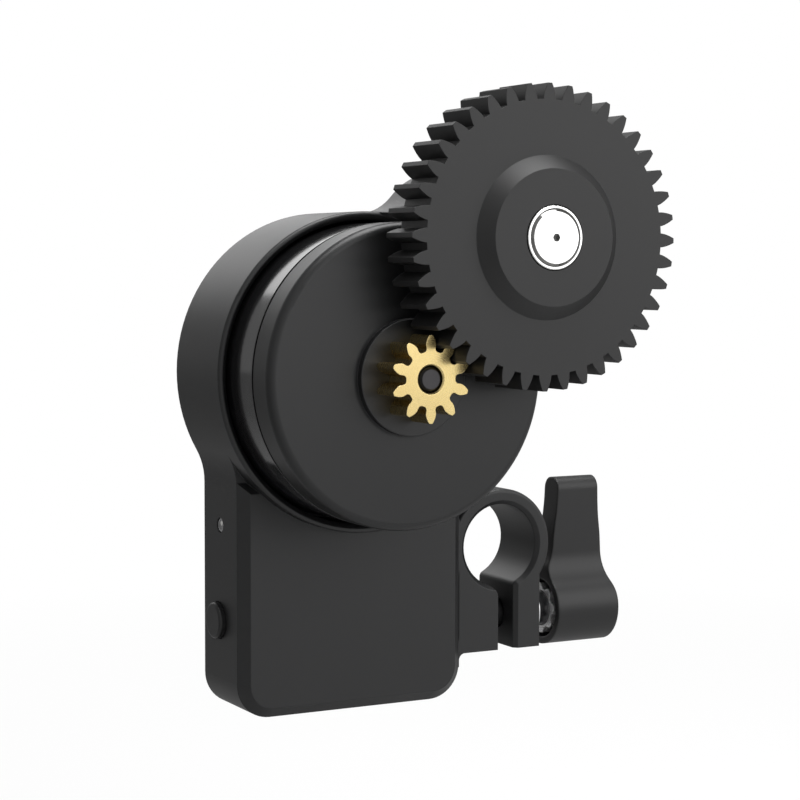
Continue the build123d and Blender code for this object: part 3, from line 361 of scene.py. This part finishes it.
def useGroup(tree, group, **values):
    node = tree.nodes.new("ShaderNodeGroup")
    node.node_tree = group
    for key, value in values.items():
        setSocket(tree, node.inputs[key.replace("_", " ")], value)
    return node.outputs


# distance in millimetres from an axis along Y, or along X with latheSide
def fromAxis(tree, centre, lathe=latheFront):
    return useGroup(tree, lathe, Centre=centre)["Radius"]


def newFinish(name):
    material = bpy.data.materials.new(name)
    material.use_nodes = True
    tree = material.node_tree
    return material, tree, tree.nodes["Principled BSDF"]


def bump(tree, height, depth, normal=None):
    node = addNode(tree, "Bump", None, Height=height, Distance=depth * mm, Strength=1.0)
    if normal is not None:
        tree.links.new(normal, node.inputs["Normal"])
    return node.outputs[0]


def dress(material, *names):
    for name in names:
        slots = nodes[name].data.materials
        slots.clear()
        slots.append(material)


# where the pieces are turned or placed
motorAxis = (-19.75, 0.0, 21.45)
gearAxis = (-6.87, 0.0, 36.75)
screwAxis = (0.0, 0.0, -8.85)

# what every finish starts from
plainLook = {
    "wornShare": 1.0,
    "edgeWearAndHighlightShare": 0.3,
    "edgeRound": 0.12,
    "speckColour": (0.05, 0.05, 0.05),
    "speckShare": 0.0,
    "roughSpread": 0.03,
    "grainRough": 0.05,
    "grainSize": 0.11,
    "grainDepth": 0.0012,
    "blotchSize": 12.0,
    "markScale": 0.5,
    "markShine": 0.04,
    "metallic": 0.0,
    "shine": 0.45,
}


# blotched and grained colour with lighter edges, partly wear and partly painted highlight, on a lathe where
# the look names one
def surface(name, look, colour=None, height=None, heightDepth=0.0):
    material, tree, shader = newFinish(name)
    grain = useGroup(tree, grainGroup, Grain_Size=look["grainSize"], Blotch_Size=look["blotchSize"])
    edges = useGroup(tree, edgeGroup, Radius=look["edgeRound"])
    marks = useGroup(tree, marksGroup, Scale=look["markScale"])
    clean = shade(look["colour"]) if colour is None else colour(tree)
    worn = calc(tree, "MULTIPLY", grain["Blotches"], look["wornShare"])
    body = mixColour(tree, worn, clean, shade(look["colourWorn"]))
    specks = calc(tree, "MULTIPLY", grain["Specks"], look["speckShare"])
    salted = mixColour(tree, specks, body, shade(look["speckColour"]))
    # lighter edges: wear, and a painted highlight along them
    edge = calc(tree, "MULTIPLY", edges["Edge"], look["edgeWearAndHighlightShare"])
    tree.links.new(mixColour(tree, edge, salted, shade(look["edgeWearAndHighlightColour"])), shader.inputs["Base Color"])
    normal = edges["Normal"]
    unevenness = grain["Blotches"]
    if "lathe" in look:
        rings = useGroup(tree, look["lathe"], Centre=look["centre"], Pitch=look["pitch"])
        unevenness = rings["Rings"]
        normal = bump(tree, rings["Rings"], look["ringDepth"], normal)
    if height is not None:
        normal = bump(tree, height(tree), heightDepth, normal)
    tree.links.new(bump(tree, grain["Grain"], look["grainDepth"], normal), shader.inputs["Normal"])
    low, high = look["roughness"] - look["roughSpread"], look["roughness"] + look["roughSpread"]
    rough = spread(tree, unevenness, low, high)
    ground = calc(tree, "MULTIPLY_ADD", grain["Grain"], look["grainRough"], rough)
    scratched = calc(tree, "MULTIPLY_ADD", marks["Marks"], -look["markShine"], ground)
    tree.links.new(scratched, shader.inputs["Roughness"])
    shader.inputs["Metallic"].default_value = look["metallic"]
    shader.inputs["Specular IOR Level"].default_value = look["shine"]
    return material


# housing and rear cover: blasted and anodised black
housingLook = {
    **plainLook,
    "colour": (0.0085, 0.0087, 0.0092),
    "colourWorn": (0.011, 0.0112, 0.0118),
    "edgeWearAndHighlightColour": (0.045, 0.046, 0.049),
    "edgeRound": 0.16,
    "speckShare": 0.25,
    "roughness": 0.4,
    "shine": 0.5,
    "grainDepth": 0.0016,
    "blotchSize": 14.0,
}
dress(surface("housingBlack", housingLook), "housing", "rear_cover")

# button: moulded, a little glossier
buttonLook = {
    **plainLook,
    "colour": (0.0075, 0.0075, 0.008),
    "colourWorn": (0.0095, 0.0095, 0.01),
    "edgeWearAndHighlightColour": (0.03, 0.03, 0.031),
    "edgeRound": 0.1,
    "roughness": 0.33,
    "grainSize": 0.08,
    "grainDepth": 0.0008,
}
dress(surface("buttonBlack", buttonLook), "function_button")

# large gear: a slightly lighter black than the housing
gearLook = {
    **plainLook,
    "colour": (0.012, 0.012, 0.0123),
    "colourWorn": (0.0148, 0.0148, 0.0151),
    "edgeWearAndHighlightColour": (0.05, 0.05, 0.051),
    "edgeWearAndHighlightShare": 0.2,
    "edgeRound": 0.1,
    "speckShare": 0.2,
    "roughness": 0.45,
    "grainSize": 0.14,
}
dress(surface("gearBlack", gearLook), "drive_gear")

# lever: painted casting
leverLook = {
    **plainLook,
    "colour": (0.0085, 0.0085, 0.0088),
    "colourWorn": (0.0105, 0.0105, 0.0108),
    "edgeWearAndHighlightColour": (0.04, 0.04, 0.041),
    "edgeRound": 0.4,
    "roughness": 0.38,
    "grainSize": 0.2,
    "grainDepth": 0.002,
}
dress(surface("leverBlack", leverLook), "clamp_lever")

# motor bell: turned and blackened
bellLook = {
    **plainLook,
    "colour": (0.0085, 0.0087, 0.0092),
    "colourWorn": (0.0105, 0.0107, 0.0112),
    "edgeWearAndHighlightColour": (0.04, 0.04, 0.042),
    "roughness": 0.36,
    "roughSpread": 0.02,
    "grainSize": 0.09,
    "grainDepth": 0.0006,
    "lathe": latheFront,
    "centre": motorAxis,
    "pitch": 0.07,
    "ringDepth": 0.0004,
}
dress(surface("bellBlack", bellLook), "rotor_bell")

# can: ground and polished black
canLook = {
    **bellLook,
    "colour": (0.008, 0.008, 0.0085),
    "colourWorn": (0.01, 0.01, 0.0105),
    "roughness": 0.1,
    "roughSpread": 0.015,
    "ringDepth": 0.00006,
    "grainDepth": 0.00008,
    "shine": 0.9,
}
dress(surface("canBlack", canLook), "flux_ring")

# pinion: bright brass
pinionLook = {
    **plainLook,
    "colour": (0.82, 0.66, 0.31),
    "colourWorn": (0.74, 0.56, 0.24),
    "edgeWearAndHighlightColour": (0.95, 0.84, 0.54),
    "edgeWearAndHighlightShare": 0.5,
    "edgeRound": 0.08,
    "roughness": 0.24,
    "roughSpread": 0.05,
    "blotchSize": 5.0,
    "grainDepth": 0.0003,
    "metallic": 1.0,
    "shine": 0.5,
    "lathe": latheFront,
    "centre": motorAxis,
    "pitch": 0.05,
    "ringDepth": 0.0005,
}
dress(surface("pinionBrass", pinionLook), "pinion")

# bright turned steel on each of its axes
steelLook = {
    **pinionLook,
    "colour": (0.74, 0.74, 0.75),
    "colourWorn": (0.64, 0.64, 0.65),
    "edgeWearAndHighlightColour": (0.9, 0.9, 0.9),
    "roughness": 0.2,
    "blotchSize": 4.0,
}
motorSteel = surface("motorSteel", steelLook)
dress(motorSteel, "motor_base", "bearing_outer_races", "bearing_inner_races")
dress(motorSteel, "base_screws", "board_screws", "sensor_screws")
dress(surface("spacerSteel", {**steelLook, "centre": gearAxis}), "gear_washer", "axle_spacer")
studLook = {
    **steelLook,
    "lathe": latheSide,
    "centre": screwAxis,
    "roughness": 0.26,
    "metallic": 0.8,
    "shankRadius": 2.2,
    "shankColour": (0.03, 0.03, 0.032),
    "toothColour": (0.97, 0.97, 0.97),
    "blend": 0.08,
    "wornShare": 0.1,
}


# the shank is darker than the toothed end
def studColour(tree):
    radius = fromAxis(tree, screwAxis, latheSide)
    first = studLook["shankRadius"]
    bright = ramp(tree, radius, first, first + studLook["blend"], 0.0, 1.0)
    return mixColour(tree, bright, shade(studLook["shankColour"]), shade(studLook["toothColour"]))


dress(surface("studSteel", studLook, studColour), "clamp_stud")
dress(surface("washerSteel", studLook), "clamp_washer")
springLook = {
    **studLook,
    "colour": (0.55, 0.55, 0.56),
    "colourWorn": (0.42, 0.42, 0.43),
    "pitch": 0.02,
}
springSteel = surface("springSteel", springLook)
dress(springSteel, "lever_spring", "shaft_clip")
ballLook = {
    **steelLook,
    "roughness": 0.06,
    "roughSpread": 0.02,
    "ringDepth": 0.00003,
    "grainDepth": 0.00003,
}
dress(surface("ballSteel", ballLook), "bearing_balls")

# axle head: polished
axleLook = {
    **steelLook,
    "colour": (0.86, 0.86, 0.85),
    "colourWorn": (0.8, 0.8, 0.79),
    "edgeWearAndHighlightColour": (0.95, 0.95, 0.95),
    "edgeRound": 0.05,
    "centre": gearAxis,
    "roughness": 0.1,
    "roughSpread": 0.03,
    "grainRough": 0.03,
    "ringDepth": 0.0001,
    "grainDepth": 0.0001,
    # painted shade on the turned step and in the driving socket
    "groove": (2.88, 3.17),
    "grooveBlend": 0.05,
    "grooveColour": (0.1, 0.098, 0.095),
    "socketRadius": 0.46,
    "socketBlend": 0.03,
    "socketShadeShare": 0.75,
    "wornShare": 0.3,
}


# painted shade: the turned step round the polished disc and the driving socket's recess are painted darker
def axleColour(tree):
    radius = fromAxis(tree, gearAxis)
    first, last = axleLook["groove"]
    socketEdge, socketShadeShare = axleLook["socketRadius"], axleLook["socketShadeShare"]
    inner = ramp(tree, radius, first - axleLook["grooveBlend"], first, 0.0, 1.0)
    outer = ramp(tree, radius, last, last + axleLook["grooveBlend"], 1.0, 0.0)
    socket = ramp(tree, radius, socketEdge, socketEdge + axleLook["socketBlend"], socketShadeShare, 0.0)
    groove = calc(tree, "MULTIPLY_ADD", inner, outer, socket)
    return mixColour(tree, groove, shade(axleLook["colour"]), shade(axleLook["grooveColour"]))


dress(surface("axleSteel", axleLook, axleColour), "gear_axle")

# motor shaft: a dark grey end face inside a near-black chamfer and side
shaftLook = {
    **steelLook,
    "colourWorn": (0.045, 0.044, 0.045),
    "edgeWearAndHighlightColour": (0.05, 0.05, 0.05),
    "edgeRound": 0.03,
    "roughness": 0.3,
    "endFaceRadius": 1.0,
    "endFaceBlend": 0.12,
    "endFaceColour": (0.075, 0.072, 0.075),
    "blackColour": (0.006, 0.006, 0.006),
}


def shaftColour(tree):
    first = shaftLook["endFaceRadius"]
    endFace = ramp(tree, fromAxis(tree, motorAxis), first, first + shaftLook["endFaceBlend"], 1.0, 0.0)
    return mixColour(tree, endFace, shade(shaftLook["blackColour"]), shade(shaftLook["endFaceColour"]))


dress(surface("shaftSteel", shaftLook, shaftColour), "motor_shaft")

# bronze bush, black screws, plated magnets
bronzeLook = {
    **steelLook,
    "colour": (0.5, 0.33, 0.15),
    "colourWorn": (0.38, 0.24, 0.1),
    "edgeWearAndHighlightColour": (0.6, 0.42, 0.2),
    "centre": gearAxis,
    "roughness": 0.42,
    "grainSize": 0.06,
    "grainDepth": 0.003,
}
dress(surface("bushBronze", bronzeLook), "gear_bush")
oxideLook = {
    **steelLook,
    "colour": (0.045, 0.045, 0.047),
    "colourWorn": (0.03, 0.03, 0.031),
    "edgeWearAndHighlightColour": (0.12, 0.12, 0.12),
    "roughness": 0.36,
    "shine": 0.5,
}
dress(surface("coverScrewBlack", oxideLook), "cover_screws")
dress(surface("leverScrewBlack", {**oxideLook, "lathe": latheSide, "centre": screwAxis}), "lever_screw")
magnetLook = {
    **steelLook,
    "colour": (0.5, 0.49, 0.46),
    "colourWorn": (0.4, 0.39, 0.37),
    "roughness": 0.28,
    "grainSize": 0.3,
    "grainDepth": 0.004,
    "pitch": 0.4,
}
dress(surface("magnetPlate", magnetLook), "rotor_magnets", "sensor_magnet")

# stator: stacked sheets along the axis, and wire turns round each tooth
laminationLook = {
    **plainLook,
    "colour": (0.2, 0.205, 0.22),
    "colourWorn": (0.13, 0.13, 0.14),
    "edgeWearAndHighlightColour": (0.4, 0.4, 0.4),
    "roughness": 0.4,
    "metallic": 1.0,
    "sheet": 0.35,
    "sheetDepth": 0.03,
}
copperLook = {
    **plainLook,
    "colour": (0.55, 0.2, 0.07),
    "colourWorn": (0.4, 0.13, 0.045),
    "edgeWearAndHighlightColour": (0.75, 0.38, 0.2),
    "roughness": 0.25,
    "metallic": 1.0,
    "wire": 0.32,
    "wireDepth": 0.09,
}


# a wave of the given pitch along a value in millimetres, from 0 to 1
def wave(tree, value, pitch):
    turn = calc(tree, "SINE", calc(tree, "MULTIPLY", value, 2 * math.pi / pitch))
    return calc(tree, "MULTIPLY_ADD", turn, 0.5, 0.5)


def along(tree, axis):
    return addNode(tree, "SeparateXYZ", None, in0=placeInMm(tree)).outputs[axis]


def sheetHeight(tree):
    return wave(tree, along(tree, "Y"), laminationLook["sheet"])


def wireHeight(tree):
    return wave(tree, fromAxis(tree, motorAxis), copperLook["wire"])


laminations = surface("laminations", laminationLook, None, sheetHeight, laminationLook["sheetDepth"])
dress(laminations, "stator_core")
copperWire = surface("copperWire", copperLook, None, wireHeight, copperLook["wireDepth"])
dress(copperWire, "stator_coils")

# circuit boards: solder mask with tracks under it and bare pads
boardLook = {
    **plainLook,
    "colourWorn": (0.012, 0.075, 0.035),
    "edgeWearAndHighlightColour": (0.25, 0.22, 0.1),
    "edgeWearAndHighlightShare": 0.5,
    "roughness": 0.28,
    "shine": 0.5,
    "mask": (0.008, 0.06, 0.028),
    "track": (0.02, 0.13, 0.055),
    "pad": (0.6, 0.48, 0.2),
    "trackPitch": 0.9,
    "trackLength": 3.69,
    "trackWidth": 0.144,
    "trackBlend": 0.1,
    "trackDepth": 0.02,
    "padDensity": 0.55,
    "padScatter": 0.8,
    "padEdge": (0.15, 0.17),
}


# place on a board that stands upright, in millimetres
def placeOnBoard(tree):
    parts = addNode(tree, "SeparateXYZ", None, in0=placeInMm(tree))
    return addNode(tree, "CombineXYZ", None, in0=parts.outputs["X"], in1=parts.outputs["Z"]).outputs[0]


def boardParts(tree):
    place = placeOnBoard(tree)
    uneven = {"offset": 0.37, "squash": 1.7, "squash_frequency": 3}
    tracks = addNode(tree, "TexBrick", uneven, Vector=place, Scale=1.0)
    tracks.inputs["Brick Width"].default_value = boardLook["trackLength"]
    tracks.inputs["Row Height"].default_value = boardLook["trackPitch"]
    tracks.inputs["Mortar Size"].default_value = boardLook["trackWidth"]
    tracks.inputs["Mortar Smooth"].default_value = boardLook["trackBlend"]
    pads = addNode(tree, "TexVoronoi", {"distance": "CHEBYCHEV"}, Vector=place)
    pads.inputs["Scale"].default_value = boardLook["padDensity"]
    pads.inputs["Randomness"].default_value = boardLook["padScatter"]
    return tracks.outputs["Fac"], ramp(tree, pads.outputs["Distance"], *boardLook["padEdge"], 1.0, 0.0)


def boardColour(tree):
    tracks, pads = boardParts(tree)
    masked = mixColour(tree, tracks, shade(boardLook["mask"]), shade(boardLook["track"]))
    return mixColour(tree, pads, masked, shade(boardLook["pad"]))


def boardHeight(tree):
    tracks, pads = boardParts(tree)
    return calc(tree, "MAXIMUM", tracks, pads)


solderMask = surface("solderMask", boardLook, boardColour, boardHeight, boardLook["trackDepth"])
dress(solderMask, "circuit_board", "sensor_board")

# chips: moulded epoxy; the two capacitors stand in sleeves with bare tops
chipLook = {
    **plainLook,
    "colourWorn": (0.02, 0.02, 0.021),
    "edgeWearAndHighlightColour": (0.08, 0.08, 0.08),
    "roughness": 0.5,
    "grainSize": 0.07,
    "grainDepth": 0.004,
    "speckShare": 0.5,
    "epoxy": (0.012, 0.012, 0.013),
    "canTop": (0.45, 0.45, 0.46),
    "capacitors": ((-25.99, 0.456), (-11.19, -5.34)),
    "topRadius": 1.05,
}


def chipColour(tree):
    place = placeOnBoard(tree)
    tops = 0.0
    for x, z in chipLook["capacitors"]:
        far = addNode(tree, "VectorMath", {"operation": "DISTANCE"}, in0=place, in1=(x, z, 0))
        tops = calc(tree, "ADD", tops, calc(tree, "LESS_THAN", far.outputs["Value"], chipLook["topRadius"]))
    return mixColour(tree, tops, shade(chipLook["epoxy"]), shade(chipLook["canTop"]))


dress(surface("chipEpoxy", chipLook, chipColour), "board_chips")
switchLook = {
    **plainLook,
    "colour": (0.016, 0.016, 0.017),
    "colourWorn": (0.022, 0.022, 0.023),
    "edgeWearAndHighlightColour": (0.06, 0.06, 0.06),
    "roughness": 0.42,
    "grainSize": 0.07,
    "grainDepth": 0.003,
}
dress(surface("switchBody", switchLook), "side_switch")
plungerLook = {
    **plainLook,
    "colour": (0.72, 0.71, 0.67),
    "colourWorn": (0.64, 0.63, 0.59),
    "edgeWearAndHighlightColour": (0.8, 0.8, 0.77),
    "roughness": 0.4,
    "grainSize": 0.08,
    "shine": 0.5,
}
dress(surface("plungerWhite", plungerLook), "switch_plunger")

# socket: drawn steel shell, and a tongue with contacts
shellLook = {
    **springLook,
    "roughness": 0.26,
    "grainSize": 0.2,
}
dress(surface("socketShell", shellLook), "usb_shell")
tongueLook = {
    **switchLook,
    "edgeWearAndHighlightShare": 0.1,
    "plastic": (0.014, 0.014, 0.015),
    "contact": (0.75, 0.52, 0.18),
    "contactPitch": 0.5,
    "contactShare": 0.45,
    "contactTop": -12.2,
}


def tongueColour(tree):
    row = wave(tree, along(tree, "X"), tongueLook["contactPitch"])
    stripes = calc(tree, "LESS_THAN", row, tongueLook["contactShare"])
    low = calc(tree, "LESS_THAN", along(tree, "Z"), tongueLook["contactTop"])
    contact = calc(tree, "MULTIPLY", stripes, low)
    return mixColour(tree, contact, shade(tongueLook["plastic"]), shade(tongueLook["contact"]))


dress(surface("socketTongue", tongueLook, tongueColour), "usb_tongue")

# three motor leads of different colours, and the flat sensor cable
leadLook = {
    **plainLook,
    "colourWorn": (0.05, 0.03, 0.02),
    "edgeWearAndHighlightColour": (0.3, 0.2, 0.15),
    "edgeWearAndHighlightShare": 0.05,
    "roughness": 0.38,
    "grainSize": 0.3,
    "shine": 0.5,
    "left": (0.55, 0.4, 0.04),
    "middle": (0.02, 0.02, 0.02),
    "right": (0.45, 0.025, 0.02),
    "spacing": 0.7,
}


def leadColour(tree):
    x = along(tree, "X")
    pastLeft = calc(tree, "GREATER_THAN", x, motorAxis[0] - leadLook["spacing"])
    pastMiddle = calc(tree, "GREATER_THAN", x, motorAxis[0] + leadLook["spacing"])
    two = mixColour(tree, pastLeft, shade(leadLook["left"]), shade(leadLook["middle"]))
    return mixColour(tree, pastMiddle, two, shade(leadLook["right"]))


dress(surface("leadSleeves", leadLook, leadColour), "motor_leads")
flexLook = {
    **plainLook,
    "colourWorn": (0.42, 0.15, 0.02),
    "edgeWearAndHighlightColour": (0.7, 0.4, 0.1),
    "roughness": 0.22,
    "shine": 0.5,
    "film": (0.5, 0.19, 0.03),
    "wire": (0.3, 0.1, 0.015),
    "wirePitch": 0.4,
}


def flexColour(tree):
    wires = calc(tree, "GREATER_THAN", wave(tree, along(tree, "X"), flexLook["wirePitch"]), 0.5)
    return mixColour(tree, wires, shade(flexLook["film"]), shade(flexLook["wire"]))


dress(surface("flatCable", flexLook, flexColour), "sensor_cable")

# status light: a yellowish lens behind a clear light pipe
ledLook = {
    **plainLook,
    "colour": (0.82, 0.78, 0.5),
    "colourWorn": (0.75, 0.68, 0.34),
    "edgeWearAndHighlightColour": (0.9, 0.88, 0.8),
    "roughness": 0.3,
    "shine": 0.5,
}
dress(surface("ledLens", ledLook), "status_led")
clearLook = {
    **plainLook,
    "colourWorn": (0.2, 0.2, 0.2),
    "wornShare": 0.2,
    "edgeWearAndHighlightColour": (0.6, 0.6, 0.6),
    "edgeRound": 0.08,
    "roughness": 0.08,
    "roughSpread": 0.03,
    "grainDepth": 0.0004,
    "shine": 0.6,
    "clear": 0.12,
    "bending": 1.49,
    "centre": (-38.1, 0.35, 3.95),
    # painted highlight on the rim, painted shade in the middle
    "rimHighlightRadius": 0.62,
    "rimHighlightColour": (0.3, 0.3, 0.305),
    "glassShadeColour": (0.12, 0.12, 0.123),
    "chipPlace": (-38.1, 0.05, 4.17),  # painted bright spot: the light's chip as seen through the middle, drawn on the pipe's face
    "chipRadius": 0.2,
    "chipColour": (0.74, 0.73, 0.7),
    "blend": 0.12,
}


# dark middle inside a lighter rim, with a bright spot: painted shade for the unlit inside, a painted
# highlight on the rim, and the light's chip painted as seen through the pipe
def windowColour(tree):
    radius = fromAxis(tree, clearLook["centre"], latheSide)
    blend = clearLook["blend"]
    rimHighlight = ramp(tree, radius, clearLook["rimHighlightRadius"] - blend, clearLook["rimHighlightRadius"], 0.0, 1.0)
    shadedGlass = mixColour(tree, rimHighlight, shade(clearLook["glassShadeColour"]), shade(clearLook["rimHighlightColour"]))
    away = fromAxis(tree, clearLook["chipPlace"], latheSide)
    chip = ramp(tree, away, clearLook["chipRadius"], clearLook["chipRadius"] + blend, 1.0, 0.0)
    return mixColour(tree, chip, shadedGlass, shade(clearLook["chipColour"]))


clearPlastic = surface("clearPlastic", clearLook, windowColour)
clearShader = clearPlastic.node_tree.nodes["Principled BSDF"]
clearShader.inputs["Transmission Weight"].default_value = clearLook["clear"]
clearShader.inputs["IOR"].default_value = clearLook["bending"]
dress(clearPlastic, "light_pipe")
print("finishes made")

# lever spring: round wire with closed end turns
# pulling the lever out presses it against the screw's head
springSetup = {
    "radius": 1.8,
    "wire": 0.16,
    "turns": 4.5,
    "closedTurns": 0.75,
    "closedPitch": 0.34,
    "turnSteps": 32,
    "wireSides": 10,
    "pressed": 0.49,  # share of its length left when the lever is right out
}


# place of the wire along the spring after so many turns
def wirePlace(turn, first, last, setup):
    closed, pitch = setup["closedTurns"], setup["closedPitch"]
    left = setup["turns"] - turn
    if turn < closed:
        return first + pitch * turn
    if left < closed:
        return last - pitch * left
    share = (turn - closed) / (setup["turns"] - 2 * closed)
    return first + pitch * closed + share * (last - first - 2 * pitch * closed)


def makeSpring(setup):
    low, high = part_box("lever_spring")
    first, last = low[0] / mm + setup["wire"], high[0] / mm - setup["wire"]
    rings = round(setup["turns"] * setup["turnSteps"]) + 1
    sides = setup["wireSides"]
    points, faces = [], []
    for ring in range(rings):
        turn = ring / setup["turnSteps"]
        angle = 2 * math.pi * turn
        x = wirePlace(turn, first, last, setup)
        for side in range(sides):
            around = 2 * math.pi * side / sides
            out = setup["radius"] + setup["wire"] * math.cos(around)
            place = (x + setup["wire"] * math.sin(around), out * math.cos(angle), out * math.sin(angle))
            points.append((Vector(place) + Vector(screwAxis)) * mm)
    for ring in range(rings - 1):
        for side in range(sides):
            here, after = ring * sides + side, ring * sides + (side + 1) % sides
            faces.append((here, here + sides, after + sides, after))
    faces.append(tuple(range(sides)))
    faces.append(tuple(reversed(range((rings - 1) * sides, rings * sides))))
    mesh = bpy.data.meshes.new("leverSpring")
    mesh.from_pydata(points, [], faces)
    for face in mesh.polygons:
        face.use_smooth = len(face.vertices) == 4
    mesh.materials.append(springSteel)
    spring = bpy.data.objects.new("leverSpring", mesh)
    bpy.context.collection.objects.link(spring)
    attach(spring, "stud")
    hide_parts("lever_spring")
    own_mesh(spring)


makeSpring(springSetup)
print("lever spring made")

bpy.context.scene.view_settings.view_transform = "Standard"
